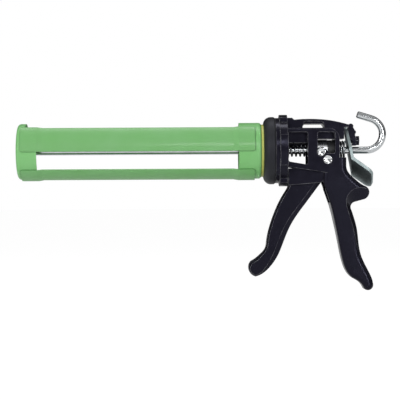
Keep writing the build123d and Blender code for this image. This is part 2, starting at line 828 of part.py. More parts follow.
def coil_spring(start_x, end_x, radius, turns, start_angle, wire):
    """A coil round the rod as one tube swept along a pair of arcs for each quarter turn."""
    pitch = (end_x - start_x) / turns
    points = coil_points(start_x, pitch, radius, turns, start_angle)
    with BuildPart() as coil:
        with BuildLine() as path:
            for (p0, t0), (p1, t1) in zip(points, points[1:]):
                chord, both = p1 - p0, t0 + t1
                bend = 2 * (1 - t0.dot(t1))
                along = chord.dot(both)
                reach = (sqrt(along**2 + bend * chord.dot(chord)) - along) / bend
                handle_0, handle_1 = p0 + t0 * reach, p1 - t1 * reach
                middle = (handle_0 + handle_1) / 2
                TangentArc(p0, middle, tangent=t0)
                TangentArc(middle, p1, tangent=handle_1 - handle_0)
        with BuildSketch(Plane(origin=points[0][0], z_dir=points[0][1])):
            Circle(wire / 2)
        sweep(path=path.wires()[0])
    print("least gap in the coil:", round(least_gap(start_x, pitch, radius, turns, wire), 2))
    return coil


drive_spring = coil_spring(
    spring_front + seat_gap + drive_wire / 2, seat_front - seat_gap - drive_wire / 2,
    drive_coil_radius, drive_turns, 0, drive_wire,
)
write(drive_spring, "drive_spring")
release_spring = coil_spring(
    swivel + rear_wall_back + seat_gap + release_wire / 2, swivel + release_end,
    release_coil_radius, release_turns, -90, release_wire,
)
write(release_spring, "release_spring")

# Push rod: threaded tip, straight shank and a hook
plunger_back = plunger_front + plunger_wall + seat_gap + backing_thickness + seat_gap
rod_shoulder = plunger_back + rear_nut_height
with BuildPart() as push_rod:
    with BuildLine(Plane.XZ) as path:
        shank = Line((rod_shoulder, 0), (hook_x, 0))
        bow = JernArc(start=shank @ 1, tangent=shank % 1, radius=hook_radius, arc_size=hook_arc)
        Line(bow @ 1, bow @ 1 + (bow % 1) * hook_end)
    with BuildSketch(Plane.YZ.offset(rod_shoulder)):
        Circle(rod_radius)
    sweep(path=path.wires()[0])
    with BuildSketch(Plane.YZ.offset(rod_tip)):
        Circle(rod_thread_radius)
    extrude(amount=rod_shoulder - rod_tip)
    chamfer(ring_edge(push_rod, rod_tip, rod_thread_radius), rod_thread_radius / 4)
    tip_rim = push_rod.edges().filter_by(GeomType.CIRCLE).sort_by(Axis.Z)[-1]
    chamfer(tip_rim, rod_radius / 5)
write(push_rod, "push_rod")

# Plunger: a dish and its backing plate between two nuts on the rod's thread
with BuildPart() as plunger_dish:
    with BuildSketch(Plane.YZ.offset(plunger_front)):
        Circle(plunger_radius)
    extrude(amount=plunger_depth)
    fillet(ring_edge(plunger_dish, plunger_front, plunger_radius), plunger_depth / 3)
    with BuildSketch(Plane.YZ.offset(plunger_front + plunger_wall)):
        Circle(plunger_radius - plunger_wall)
    extrude(amount=plunger_depth, mode=Mode.SUBTRACT)
    with BuildSketch(Plane.YZ.offset(plunger_front)):
        Circle(rod_thread_radius + running)
    extrude(amount=plunger_depth, mode=Mode.SUBTRACT)
write(plunger_dish, "plunger_dish")

with BuildPart() as plunger_backing_plate:
    with BuildSketch(Plane.YZ.offset(plunger_front + plunger_wall)):
        Circle(backing_radius)
        Circle(rod_thread_radius + running, mode=Mode.SUBTRACT)
    extrude(amount=backing_thickness)
write(plunger_backing_plate, "plunger_backing_plate")


def hex_nut(front, height):
    """A hexagon nut on the rod's thread."""
    with BuildPart() as nut:
        with BuildSketch(Plane.YZ.offset(front)):
            RegularPolygon(nut_across_flats / 2, 6, major_radius=False)
            Circle(rod_thread_radius, mode=Mode.SUBTRACT)
        extrude(amount=height)
    return nut


write(hex_nut(plunger_front - seat_gap - front_nut_height, front_nut_height), "plunger_front_nut")
write(hex_nut(plunger_back, rear_nut_height), "plunger_rear_nut")

# Release lever: a leaning plate with a hinge bead and a thumb tab bent along a skewed line
lever_normal = Vector(cos(lean), 0, sin(lean))
near, far = lever_spot(-lever_half_width, tab_near_z), lever_spot(lever_half_width, tab_far_z)
bend_line = (far - near).normalized()
tab_run = Vector(cos(radians(tab_drop)), 0, -sin(radians(tab_drop)))
tab_plane = Plane(origin=(near + far) / 2, x_dir=bend_line, z_dir=bend_line.cross(tab_run))
with BuildPart() as release_lever:
    lever_plane = Plane(origin=lever_spot(0, 0), x_dir=(0, 1, 0), z_dir=lever_normal)
    with BuildSketch(lever_plane):
        with BuildLine():
            Polyline(
                (-lever_top_half_width, hinge_z / cos(lean)), (lever_top_half_width, hinge_z / cos(lean)),
                (lever_half_width, lever_thickness), (lever_half_width, tab_far_z / cos(lean)),
                (-lever_half_width, tab_near_z / cos(lean)), (-lever_half_width, lever_thickness),
                close=True,
            )
        make_face()
    extrude(amount=lever_thickness / 2, both=True)
    with BuildSketch(tab_plane):
        with BuildLine():
            corners = [near - bend_line * tab_corner, far + bend_line * tab_corner]
            corners += [c + tab_run * tab_length for c in reversed(corners)]
            Polyline(*[tuple(tab_plane.to_local_coords(c))[:2] for c in corners], close=True)
        make_face()
    extrude(amount=lever_thickness / 2, both=True)
    with BuildSketch(Plane(origin=near - bend_line * tab_corner, z_dir=bend_line)):
        Circle(lever_thickness / 2)
    extrude(amount=(far - near).length + 2 * tab_corner)
    with BuildSketch(Plane.XZ):
        with Locations(body_point(lever_x, 0)):
            Rectangle(2 * lever_x, 2 * lever_x)
    extrude(amount=lever_half_width, both=True, mode=Mode.INTERSECT)
    for root in (near, far):
        spot = root + tab_run * tab_length
        corner = release_lever.edges().sort_by_distance(spot)[0]
        fillet(corner, tab_corner)
    with BuildSketch(Plane.XZ):
        with Locations((lever_spot(0, hinge_z).X, hinge_z)):
            Circle(hinge_bead_radius)
    extrude(amount=lever_top_half_width, both=True)
    with BuildSketch(lever_plane):
        with Locations((0, lever_hole_up)):
            Circle(lever_hole_radius)
    extrude(amount=lever_thickness, both=True, mode=Mode.SUBTRACT)
write(release_lever, "release_lever")

# Stop screw in the keeper claw, just short of the lever's back
stop_tip = lever_spot(0, stop_z - stop_radius).X + lever_thickness / (2 * cos(lean)) + side_gap
claw_back = swivel + claw_x + claw_strip / 2
with BuildPart() as stop_screw:
    with BuildSketch(Plane.YZ.offset(stop_tip)):
        with Locations((0, stop_z)):
            Circle(stop_radius)
    extrude(amount=claw_back - stop_tip)
    with BuildSketch(Plane.YZ.offset(claw_back)):
        with Locations((0, stop_z)):
            RegularPolygon(stop_head_across / 2, 6, major_radius=False)
    extrude(amount=stop_head_height)
write(stop_screw, "stop_screw")
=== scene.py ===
# %% [markdown]
# A cartridge caulking gun, dressed for a studio picture.
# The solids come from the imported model, in metres: +X runs back along the push rod, +Z is up,
# and the camera looks along +Y at the closed side of the cradle. This script adds the camera, the
# light, the wound springs and the finishes, and never moves a solid.

# %% Load the frame
import bpy
from math import cos, pi, radians, sin
from mathutils import Matrix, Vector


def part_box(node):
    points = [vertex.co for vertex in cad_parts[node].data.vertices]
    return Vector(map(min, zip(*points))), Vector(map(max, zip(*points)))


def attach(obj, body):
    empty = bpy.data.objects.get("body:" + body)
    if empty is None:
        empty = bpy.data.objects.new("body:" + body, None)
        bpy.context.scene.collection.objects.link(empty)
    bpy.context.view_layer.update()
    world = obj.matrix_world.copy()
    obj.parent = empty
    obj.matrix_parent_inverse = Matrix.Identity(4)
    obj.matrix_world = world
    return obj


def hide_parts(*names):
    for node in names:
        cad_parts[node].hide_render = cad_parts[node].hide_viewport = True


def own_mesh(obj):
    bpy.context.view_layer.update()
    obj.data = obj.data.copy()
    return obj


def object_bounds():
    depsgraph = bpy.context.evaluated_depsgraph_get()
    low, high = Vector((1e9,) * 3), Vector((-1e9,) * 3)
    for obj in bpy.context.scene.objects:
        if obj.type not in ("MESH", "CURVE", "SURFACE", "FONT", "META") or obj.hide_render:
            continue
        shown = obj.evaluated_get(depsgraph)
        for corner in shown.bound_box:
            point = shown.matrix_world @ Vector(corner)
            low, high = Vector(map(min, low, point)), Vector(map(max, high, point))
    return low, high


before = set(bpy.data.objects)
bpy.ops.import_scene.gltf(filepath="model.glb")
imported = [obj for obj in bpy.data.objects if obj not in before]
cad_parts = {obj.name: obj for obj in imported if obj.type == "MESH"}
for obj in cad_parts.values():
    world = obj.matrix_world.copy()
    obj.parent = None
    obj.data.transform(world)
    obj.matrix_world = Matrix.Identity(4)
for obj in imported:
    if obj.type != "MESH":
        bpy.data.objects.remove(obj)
cad_box = [list(corner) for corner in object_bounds()]
scene = bpy.context.scene
scene.view_settings.view_transform = "Standard"
MM = 0.001

# %% [markdown]
# The picture was taken square on, from about a metre and a half, with a long lens, so the caps
# show hardly any of their insides. A lens of 135 mm at 1.5 m makes one pixel one millimetre on the
# rod's own plane. The gun also leans by a fraction of a degree, which the camera takes as roll.

# %% Camera
CAMERA_PLACE = (0.18116, -1.5, -0.0489)
CAMERA_ROLL = -0.3
CAMERA_LENS, CAMERA_SENSOR = 135.0, 36.0
camera_data = bpy.data.cameras.new("studio_camera")
camera_data.sensor_width = CAMERA_SENSOR
camera_data.lens = CAMERA_LENS
camera = bpy.data.objects.new("studio_camera", camera_data)
scene.collection.objects.link(camera)
camera.matrix_world = (
    Matrix.Translation(CAMERA_PLACE)
    @ Matrix.Rotation(radians(90), 4, "X")
    @ Matrix.Rotation(radians(CAMERA_ROLL), 4, "Z")
)
scene.camera = camera
print("camera at", CAMERA_PLACE)

# %% [markdown]
# A black casting and bright zinc only look right if they have something to reflect. The world is a
# grey room that brightens upwards and is dark behind the gun, so that round metal gets dark outlines,
# and it is plain white where the camera sees it directly. Two
# soft boxes light the faces, one from well to the left so that the black coat stays dark, and two
# strips draw the long highlights on the rod and along the handle's edges.

# %% World and lamps
ROOM_LOW, ROOM_HIGH = 0.06, 0.42
ROOM_FOOT, ROOM_CROWN = -0.2, 0.9
ROOM_BEHIND = 0.15
FADE_START, FADE_STOP = -0.1, 0.6
MIDDLE = (0.19, 0.0, -0.03)
HANDLE = (0.24, 0.0, -0.05)
LAMPS = {
    "key_box": dict(place=(-0.80, -1.10, 0.42), aim=MIDDLE, width=0.7, height=0.7, watts=8.1),
    "front_fill": dict(place=(0.25, -1.75, 0.85), aim=MIDDLE, width=0.3, height=0.3, watts=3.5),
    "edge_strip": dict(place=(0.76, -1.30, 0.12), aim=HANDLE, width=0.07, height=0.8, watts=4.5),
    "top_strip": dict(place=(0.19, 0.15, 0.95), aim=MIDDLE, width=0.9, height=0.18, watts=3.0),
}


def node(tree, kind, place=(0, 0), **values):
    """Add a shader or geometry node; values are its properties, or its inputs by name."""
    made = tree.nodes.new(kind)
    made.location = place
    for key, value in values.items():
        if hasattr(made, key):
            setattr(made, key, value)
        else:
            made.inputs[key.replace("_", " ")].default_value = value
    return made


def make_world():
    """A room lit from above, white where the camera looks straight at it."""
    world = bpy.data.worlds.new("studio_room")
    world.use_nodes = True
    tree = world.node_tree
    tree.nodes.clear()
    coords = node(tree, "ShaderNodeTexCoord", (-900, 0))
    split = node(tree, "ShaderNodeSeparateXYZ", (-700, 0))
    climb = node(tree, "ShaderNodeMapRange", (-500, 0), From_Min=ROOM_FOOT, From_Max=ROOM_CROWN)
    climb.inputs["To Min"].default_value = ROOM_LOW
    climb.inputs["To Max"].default_value = ROOM_HIGH
    fade = node(tree, "ShaderNodeMapRange", (-500, -300), From_Min=FADE_START, From_Max=FADE_STOP)
    fade.inputs["To Min"].default_value = 1.0
    fade.inputs["To Max"].default_value = ROOM_BEHIND
    dim = node(tree, "ShaderNodeMath", (-350, -100), operation="MULTIPLY")
    path = node(tree, "ShaderNodeLightPath", (-500, 300))
    most = node(tree, "ShaderNodeMath", (-250, 0), operation="MAXIMUM")
    back = node(tree, "ShaderNodeBackground", (0, 0))
    back.inputs["Color"].default_value = (1, 1, 1, 1)
    out = node(tree, "ShaderNodeOutputWorld", (200, 0))
    tree.links.new(coords.outputs["Generated"], split.inputs[0])
    tree.links.new(split.outputs["Z"], climb.inputs["Value"])
    tree.links.new(split.outputs["Y"], fade.inputs["Value"])
    tree.links.new(climb.outputs[0], dim.inputs[0])
    tree.links.new(fade.outputs[0], dim.inputs[1])
    tree.links.new(dim.outputs[0], most.inputs[0])
    tree.links.new(path.outputs["Is Camera Ray"], most.inputs[1])
    tree.links.new(most.outputs[0], back.inputs["Strength"])
    tree.links.new(back.outputs[0], out.inputs[0])
    return world


def soft_box(name, place, aim, width, height, watts):
    """A rectangular lamp that faces a point of the gun."""
    data = bpy.data.lights.new(name, "AREA")
    data.shape = "RECTANGLE"
    data.size, data.size_y, data.energy = width, height, watts
    lamp = bpy.data.objects.new(name, data)
    scene.collection.objects.link(lamp)
    start = Matrix.Translation(place).to_translation()
    turn = (Matrix.Translation(aim).to_translation() - start).to_track_quat("-Z", "Y")
    lamp.matrix_world = Matrix.Translation(place) @ turn.to_matrix().to_4x4()
    return lamp


scene.world = make_world()
for name, plan in LAMPS.items():
    soft_box(name, **plan)

# %% [markdown]
# The floor is one pale sheet. It lies a few millimetres under the handle's heel, because the
# trigger's tip swings lower than the heel when it is squeezed. To the camera it is nearly white, so
# that it melts into the room, and it keeps a soft shadow. Mirrored in the metal it is dimmer, so
# that the rod keeps its dark lines.

# %% Floor
FLOOR_SIZE = 30.0
FLOOR_DROP = 0.0055
FLOOR_GLOW = 1.12
FLOOR_SHARE = 0.85
FLOOR_MIRRORED = 0.35
FLOOR_GREY = 0.9


def make_floor():
    """A wide pale sheet under the lowest point that the trigger reaches."""
    height = cad_box[0][2] - FLOOR_DROP
    half = FLOOR_SIZE / 2
    mesh = bpy.data.meshes.new("floor")
    corners = [(x, y, height) for x, y in ((-half, -half), (half, -half), (half, half), (-half, half))]
    mesh.from_pydata(corners, [], [(0, 1, 2, 3)])
    floor = bpy.data.objects.new("floor", mesh)
    scene.collection.objects.link(floor)
    sheet = bpy.data.materials.new("pale_sheet")
    sheet.use_nodes = True
    tree = sheet.node_tree
    tree.nodes.clear()
    matte = node(tree, "ShaderNodeBsdfDiffuse", (-200, 0))
    matte.inputs["Color"].default_value = (FLOOR_GREY, FLOOR_GREY, FLOOR_GREY, 1)
    glow = node(tree, "ShaderNodeEmission", (-200, -200))
    glow.inputs["Strength"].default_value = FLOOR_GLOW
    path = node(tree, "ShaderNodeLightPath", (-800, 200))
    seen = node(tree, "ShaderNodeMath", (-500, 200), operation="MULTIPLY")
    seen.inputs[1].default_value = FLOOR_SHARE
    mirrored = node(tree, "ShaderNodeMath", (-500, 0), operation="MULTIPLY")
    mirrored.inputs[1].default_value = FLOOR_MIRRORED
    share = node(tree, "ShaderNodeMath", (-300, 200), operation="MAXIMUM")
    mix = node(tree, "ShaderNodeMixShader", (0, 0))
    out = node(tree, "ShaderNodeOutputMaterial", (200, 0))
    tree.links.new(path.outputs["Is Camera Ray"], seen.inputs[0])
    tree.links.new(path.outputs["Is Glossy Ray"], mirrored.inputs[0])
    tree.links.new(seen.outputs[0], share.inputs[0])
    tree.links.new(mirrored.outputs[0], share.inputs[1])
    tree.links.new(share.outputs[0], mix.inputs[0])
    tree.links.new(matte.outputs[0], mix.inputs[1])
    tree.links.new(glow.outputs[0], mix.inputs[2])
    tree.links.new(mix.outputs[0], out.inputs[0])
    mesh.materials.append(sheet)
    return height


print("floor at", round(make_floor(), 4))

# %% [markdown]
# Every finish below starts from the same few layers: a base colour that drifts a little over the
# piece, a fine relief for the coat or the brushing, and a rounded edge in the shading that catches
# a thin line of light, as every cast or stamped edge does. An edge mask, found where that rounded
# edge leaves the true face, lets a coat wear thin along its edges; on the black coat it also lays a
# painted highlight along them.

# %% Layers shared by the finishes
EDGE_SAMPLES = 6
EDGE_BAND_START, EDGE_BAND_FULL = 0.997, 0.965


def finish_base(name, colour, metal, gloss_rough):
    """A new material with its shader's even values set, and the coordinates of the piece."""
    made = bpy.data.materials.new(name)
    made.use_nodes = True
    tree = made.node_tree
    shader = tree.nodes["Principled BSDF"]
    shader.inputs["Base Color"].default_value = (*colour, 1)
    shader.inputs["Metallic"].default_value = metal
    shader.inputs["Roughness"].default_value = gloss_rough
    coords = node(tree, "ShaderNodeTexCoord", (-1600, 0))
    made.diffuse_color = (*colour, 1)
    return made, tree, shader, coords


def noise(tree, coords, scale, detail=3.0, stretch=(1, 1, 1), place=(-1200, 0)):
    """Noise in the piece's own coordinates, drawn out along an axis where stretch is small."""
    turn = node(tree, "ShaderNodeMapping", (place[0] - 200, place[1]))
    turn.inputs["Scale"].default_value = stretch
    cloud = node(tree, "ShaderNodeTexNoise", place)
    cloud.inputs["Scale"].default_value = scale
    cloud.inputs["Detail"].default_value = detail
    tree.links.new(coords.outputs["Object"], turn.inputs["Vector"])
    tree.links.new(turn.outputs[0], cloud.inputs["Vector"])
    return cloud.outputs["Fac"]


def spread(tree, value, low, high, place=(-900, 0), start=0.3, stop=0.7):
    """Stretch a noise value to a range."""
    made = node(tree, "ShaderNodeMapRange", place)
    made.inputs["From Min"].default_value = start
    made.inputs["From Max"].default_value = stop
    made.inputs["To Min"].default_value = low
    made.inputs["To Max"].default_value = high
    tree.links.new(value, made.inputs["Value"])
    return made.outputs[0]


def two_tone(tree, value, first, second, place=(-600, 200)):
    """Blend two colours by a value."""
    made = node(tree, "ShaderNodeMix", place, data_type="RGBA")
    made.inputs[6].default_value = (*first, 1)
    made.inputs[7].default_value = (*second, 1)
    tree.links.new(value, made.inputs[0])
    return made.outputs[2]


def rounded_edge(tree, radius, place=(-900, -500)):
    """The shading normal of an edge rounded to a radius in millimetres."""
    made = node(tree, "ShaderNodeBevel", place)
    made.samples = EDGE_SAMPLES
    made.inputs["Radius"].default_value = radius * MM
    return made.outputs[0]


def relief(tree, shader, height, strength, depth, normal, place=(-300, -400)):
    """Fine relief over a rounded edge; depth is in millimetres."""
    made = node(tree, "ShaderNodeBump", place)
    made.inputs["Strength"].default_value = strength
    made.inputs["Distance"].default_value = depth * MM
    tree.links.new(height, made.inputs["Height"])
    tree.links.new(normal, made.inputs["Normal"])
    tree.links.new(made.outputs[0], shader.inputs["Normal"])


def edge_band_mask(tree, edge_normal, patches, place=(-900, 500)):
    """A mask that is 1 along rounded edges, where the rounded edge leaves the face, broken by noise; it
    carries edge wear, and on the black coat a painted highlight as well.
    """
    face = node(tree, "ShaderNodeNewGeometry", (place[0] - 300, place[1]))
    dot = node(tree, "ShaderNodeVectorMath", place, operation="DOT_PRODUCT")
    tree.links.new(edge_normal, dot.inputs[0])
    tree.links.new(face.outputs["Normal"], dot.inputs[1])
    away = node(tree, "ShaderNodeMapRange", (place[0] + 200, place[1]))
    away.inputs["From Min"].default_value = EDGE_BAND_START
    away.inputs["From Max"].default_value = EDGE_BAND_FULL
    tree.links.new(dot.outputs["Value"], away.inputs["Value"])
    both = node(tree, "ShaderNodeMath", (place[0] + 400, place[1]), operation="MULTIPLY")
    tree.links.new(away.outputs[0], both.inputs[0])
    tree.links.new(patches, both.inputs[1])
    return both.outputs[0]


# %% [markdown]
# The cradle is pressed steel under a light green gloss paint, sprayed and baked. Spray dries with
# a faint orange peel, so the gloss breaks up a little, and the paint is thin on sharp edges. The
# rails are a shade deeper than the caps in the picture, and their paint is darkened to match: a
# painted shade for the weaker light on the rails. A dark green painted shade also fills the seams.

# %% Cradle paint
PAINT = (0.238, 0.575, 0.214)
PAINT_DEEP = (0.212, 0.552, 0.180)
PAINT_RUBBED = (0.31, 0.62, 0.27)
# The dark green of the painted shade in the seams between rails and caps.
PAINT_SEAM_SHADE = (0.045, 0.13, 0.045)
SEAM_REACH = 1.6
# Painted shade: the rails' paint is darkened by this factor for the weaker light that falls on them.
RAIL_SHADE_FACTOR = 0.85
PAINT_EDGE = 0.45
PAINT_DRIFT, PAINT_PATCH, PAINT_GLOSS, PAINT_PEEL = 38, 240, 90, 950
PEEL_STRENGTH, PEEL_DEPTH = 0.22, 0.05


def make_cradle_paint(name, tone):
    """Sprayed light green gloss on steel; the second argument darkens its colour as painted shade, 1 for
    none.
    """
    base, deep, rubbed = ([tone * part for part in paint] for paint in (PAINT, PAINT_DEEP, PAINT_RUBBED))
    made, tree, shader, coords = finish_base(name, base, 0.0, 0.34)
    drift = spread(tree, noise(tree, coords, PAINT_DRIFT, 2.0), 0.0, 1.0)
    colour = two_tone(tree, drift, base, deep)
    edge = rounded_edge(tree, PAINT_EDGE)
    cloud = noise(tree, coords, PAINT_PATCH, 4.0, place=(-1200, 500))
    patches = spread(tree, cloud, 0.0, 0.8, (-1000, 700))
    edge_tinted = two_tone(tree, edge_band_mask(tree, edge, patches), base, rubbed, (-400, 400))
    tree.links.new(colour, edge_tinted.node.inputs[6])
    # Painted shade: an occlusion mask darkens the paint to a dark green in seams and creases, where shade
    # falls.
    seam = node(tree, "ShaderNodeAmbientOcclusion", (-200, 400))
    seam.samples = 8
    seam.inputs["Distance"].default_value = SEAM_REACH * MM
    shade = spread(tree, seam.outputs["AO"], 0.0, 1.0, (0, 500), 0.35, 0.85)
    seam_shaded = two_tone(tree, shade, PAINT_SEAM_SHADE, base, (200, 400))
    tree.links.new(edge_tinted, seam_shaded.node.inputs[7])
    tree.links.new(seam_shaded, shader.inputs["Base Color"])
    gloss = spread(tree, noise(tree, coords, PAINT_GLOSS, place=(-1200, -200)), 0.40, 0.50, (-900, -200))
    tree.links.new(gloss, shader.inputs["Roughness"])
    peel = noise(tree, coords, PAINT_PEEL, 2.0, place=(-1200, -700))
    relief(tree, shader, peel, PEEL_STRENGTH, PEEL_DEPTH, edge)
    shader.inputs["Specular IOR Level"].default_value = 0.38
    shader.inputs["Coat Weight"].default_value = 0.16
    shader.inputs["Coat Roughness"].default_value = 0.14
    return made


# %% [markdown]
# The body, the collar and the trigger are die cast and coated satin black. The coat has a fine
# sandy grain and a slight blue cast, and the metal begins to show grey where hands and the bench
# rub the edges. That grey is made light enough to be a painted highlight too, a thin bright line
# along the creases and rounded edges.

# %% Black casting coat
COAT = (0.0055, 0.0050, 0.0095)
COAT_GREY = (0.0085, 0.0078, 0.0135)
# Worn metal and painted highlight: this grey lightens the coat's edges and creases as a thin bright line.
COAT_WEAR_AND_HIGHLIGHT = (0.22, 0.22, 0.235)
COAT_SHEEN = (0.62, 0.62, 0.88)
COAT_EDGE = 0.7
COAT_DRIFT, COAT_PATCH, COAT_GLOSS = 55, 180, 130
GRAIN_STRENGTH, GRAIN_DEPTH = 0.3, 0.06


def make_black_coat(name, base, grey, rough_low, rough_high, grain):
    """Satin black coat on a casting, with its grain size in features per metre."""
    made, tree, shader, coords = finish_base(name, base, 0.0, rough_low)
    drift = spread(tree, noise(tree, coords, COAT_DRIFT, 3.0), 0.0, 1.0)
    colour = two_tone(tree, drift, base, grey)
    edge = rounded_edge(tree, COAT_EDGE)
    cloud = noise(tree, coords, COAT_PATCH, 5.0, place=(-1200, 500))
    patches = spread(tree, cloud, 0.25, 1.0, (-1000, 700), 0.38, 0.6)
    # The edge mask lightens the coat toward that grey: edge wear and a painted highlight together.
    edge_tinted = two_tone(tree, edge_band_mask(tree, edge, patches), base, COAT_WEAR_AND_HIGHLIGHT, (-400, 400))
    tree.links.new(colour, edge_tinted.node.inputs[6])
    tree.links.new(edge_tinted, shader.inputs["Base Color"])
    gloss = noise(tree, coords, COAT_GLOSS, place=(-1200, -200))
    rough = spread(tree, gloss, rough_low, rough_high, (-900, -200))
    tree.links.new(rough, shader.inputs["Roughness"])
    sand = noise(tree, coords, grain, 3.0, place=(-1200, -700))
    relief(tree, shader, sand, GRAIN_STRENGTH, GRAIN_DEPTH, edge)
    shader.inputs["Specular IOR Level"].default_value = 0.26
    shader.inputs["Specular Tint"].default_value = (*COAT_SHEEN, 1)
    return made


# %% [markdown]
# The rod, the pins and the sleeve are drawn or turned steel under bright zinc. Drawing leaves fine
# lines along the rod, so its noise is stretched along X; turned and stamped pieces get lines
# across. Zinc also clouds into faint patches. The riveted pin heads are hollowed by the set tool,
# and a smooth dip in the shading shows that hollow as a dark and a bright crescent.

# %% Zinc and spring steel
ZINC = (0.70, 0.72, 0.74)
ZINC_CLOUD = (0.60, 0.63, 0.64)
BRIGHT_ZINC = (0.88, 0.89, 0.90)
SPRING_WIRE = (0.62, 0.64, 0.67)
SPRING_DARK = (0.46, 0.48, 0.51)
LEVER_ZINC = (0.42, 0.49, 0.495)
LEVER_CLOUD = (0.33, 0.395, 0.40)
METAL_EDGE = 0.25
METAL_PATCH, METAL_LINES = 120, 900
LINE_DEPTH = 0.02
PIN_RADIUS = 4.3
PIN_DISH = 0.9
PIVOT_CENTRE = (307.6, -9.6)
STUD_CENTRE = (301.7, -1.8)


def dished(tree, coords, centre, normal):
    """The shading normal of a shallow dish in a pin's head, round a centre (x, z) in millimetres."""
    scale = 1 / (PIN_RADIUS * MM)
    spot = node(tree, "ShaderNodeMapping", (-1400, -900))
    spot.inputs["Location"].default_value = (-centre[0] / PIN_RADIUS, 0, -centre[1] / PIN_RADIUS)
    spot.inputs["Scale"].default_value = (scale, 0, scale)
    rise = node(tree, "ShaderNodeVectorMath", (-1200, -900), operation="DOT_PRODUCT")
    sink = node(tree, "ShaderNodeBump", (-600, -800))
    sink.inputs["Distance"].default_value = PIN_DISH * MM
    tree.links.new(coords.outputs["Object"], spot.inputs["Vector"])
    tree.links.new(spot.outputs[0], rise.inputs[0])
    tree.links.new(spot.outputs[0], rise.inputs[1])
    tree.links.new(rise.outputs["Value"], sink.inputs["Height"])
    tree.links.new(normal, sink.inputs["Normal"])
    return sink.outputs[0]


def make_bright_metal(name, base, cloud, stretch, rough_low, rough_high, scratch=0.12, dish=None):
    """Plated steel with lines drawn out along the axis where stretch is small."""
    made, tree, shader, coords = finish_base(name, base, 1.0, rough_low)
    patches = spread(tree, noise(tree, coords, METAL_PATCH, 4.0), 0.0, 1.0)
    tree.links.new(two_tone(tree, patches, base, cloud), shader.inputs["Base Color"])
    lines = noise(tree, coords, METAL_LINES, 3.0, stretch, (-1200, -300))
    tree.links.new(spread(tree, lines, rough_low, rough_high, (-900, -200)), shader.inputs["Roughness"])
    normal = rounded_edge(tree, METAL_EDGE)
    if dish:
        normal = dished(tree, coords, dish, normal)
    relief(tree, shader, lines, scratch, LINE_DEPTH, normal)
    return made


# %% [markdown]
# The rod is bright enough to act as a mirror, and a mirror shows the flat triangles of its mesh. The
# shader knows the rod's line: a straight shank, a bow of known radius and sweep, and a straight end.
# So it works out the true round normal, which points away from the nearest place on that line. On
# the rod's flat ends that normal would be wrong, so there the mesh's own normal stays.

# %% Round normal for the rod
BOW_START = 347.8
BOW_RADIUS = 16.1
BOW_SWEEP = 163.0
ROUND_ENOUGH = 0.85


def link_math(tree, kind, operation, *values):
    """A math or vector math node fed by sockets, numbers or vectors; gives its first live output."""
    made = node(tree, kind, operation=operation)
    for slot, value in zip(made.inputs, values):
        if isinstance(value, bpy.types.NodeSocket):
            tree.links.new(value, slot)
        else:
            slot.default_value = value
    return next(output for output in made.outputs if output.enabled)


def choose(tree, factor, first, second):
    """The second vector where the factor is 1, and the first elsewhere."""
    made = node(tree, "ShaderNodeMix", data_type="VECTOR")
    for slot, value in zip((0, 4, 5), (factor, first, second)):
        tree.links.new(value, made.inputs[slot])
    return made.outputs[1]


def round_off_rod(finish):
    """Give a finish the round normal of the rod's shank, bow and end, in place of its relief."""
    tree = finish.node_tree
    flat, turn = "ShaderNodeMath", "ShaderNodeVectorMath"
    reach, sweep = BOW_RADIUS * MM, radians(BOW_SWEEP)
    heading = (cos(sweep), 0, sin(sweep))
    spot = node(tree, "ShaderNodeTexCoord").outputs["Object"]
    off_shank = link_math(tree, turn, "MULTIPLY", spot, (0, 1, 1))
    arm = link_math(tree, turn, "SUBTRACT", spot, (BOW_START * MM, 0, reach))
    rim = link_math(tree, turn, "NORMALIZE", link_math(tree, turn, "MULTIPLY", arm, (1, 0, 1)))
    off_bow = link_math(tree, turn, "SUBTRACT", arm, link_math(tree, turn, "MULTIPLY", rim, (reach,) * 3))
    past = link_math(tree, turn, "SUBTRACT", arm, (reach * sin(sweep), 0, -reach * cos(sweep)))
    ahead = link_math(tree, turn, "DOT_PRODUCT", past, heading)
    off_end = link_math(tree, turn, "SUBTRACT", past, link_math(tree, turn, "PROJECT", past, heading))
    along = link_math(tree, turn, "DOT_PRODUCT", arm, (1, 0, 0))
    height = link_math(tree, turn, "DOT_PRODUCT", arm, (0, 0, 1))
    on_bow = link_math(tree, flat, "GREATER_THAN", along, 0.0)
    above = link_math(tree, flat, "GREATER_THAN", height, 0.0)
    on_end = link_math(tree, flat, "MULTIPLY", above, link_math(tree, flat, "GREATER_THAN", ahead, 0.0))
    away = choose(tree, on_end, choose(tree, on_bow, off_shank, off_bow), off_end)
    turned = node(tree, "ShaderNodeVectorTransform", vector_type="NORMAL")
    turned.convert_from, turned.convert_to = "OBJECT", "WORLD"
    tree.links.new(link_math(tree, turn, "NORMALIZE", away), turned.inputs[0])
    face = node(tree, "ShaderNodeNewGeometry").outputs["Normal"]
    likeness = link_math(tree, turn, "DOT_PRODUCT", face, turned.outputs[0])
    side = link_math(tree, flat, "GREATER_THAN", likeness, ROUND_ENOUGH)
    shader = tree.nodes["Principled BSDF"]
    tree.links.new(choose(tree, side, face, turned.outputs[0]), shader.inputs["Normal"])


# %% [markdown]
# Two moulded plastics finish the list: black guide bushes and a yellow thrust washer that shows as
# a thin bright line between the cradle and the collar.

# %% Moulded plastics
PLASTIC_EDGE = 0.3
PLASTIC_DRIFT, PLASTIC_GRAIN = 150, 1600


def make_plastic(name, base, deep, rough_low, rough_high):
    """Moulded plastic with a faint mottle and a fine spark-eroded grain."""
    made, tree, shader, coords = finish_base(name, base, 0.0, rough_low)
    drift = spread(tree, noise(tree, coords, PLASTIC_DRIFT, 3.0), 0.0, 1.0)
    tree.links.new(two_tone(tree, drift, base, deep), shader.inputs["Base Color"])
    grain = noise(tree, coords, PLASTIC_GRAIN, 2.0, place=(-1200, -300))
    tree.links.new(spread(tree, grain, rough_low, rough_high, (-900, -200)), shader.inputs["Roughness"])
    relief(tree, shader, grain, 0.2, 0.04, rounded_edge(tree, PLASTIC_EDGE))
    return made


# %% [markdown]
# Each solid now gets its finish. The collar's coat is a little greyer and rougher than the body's,
# as in the picture.

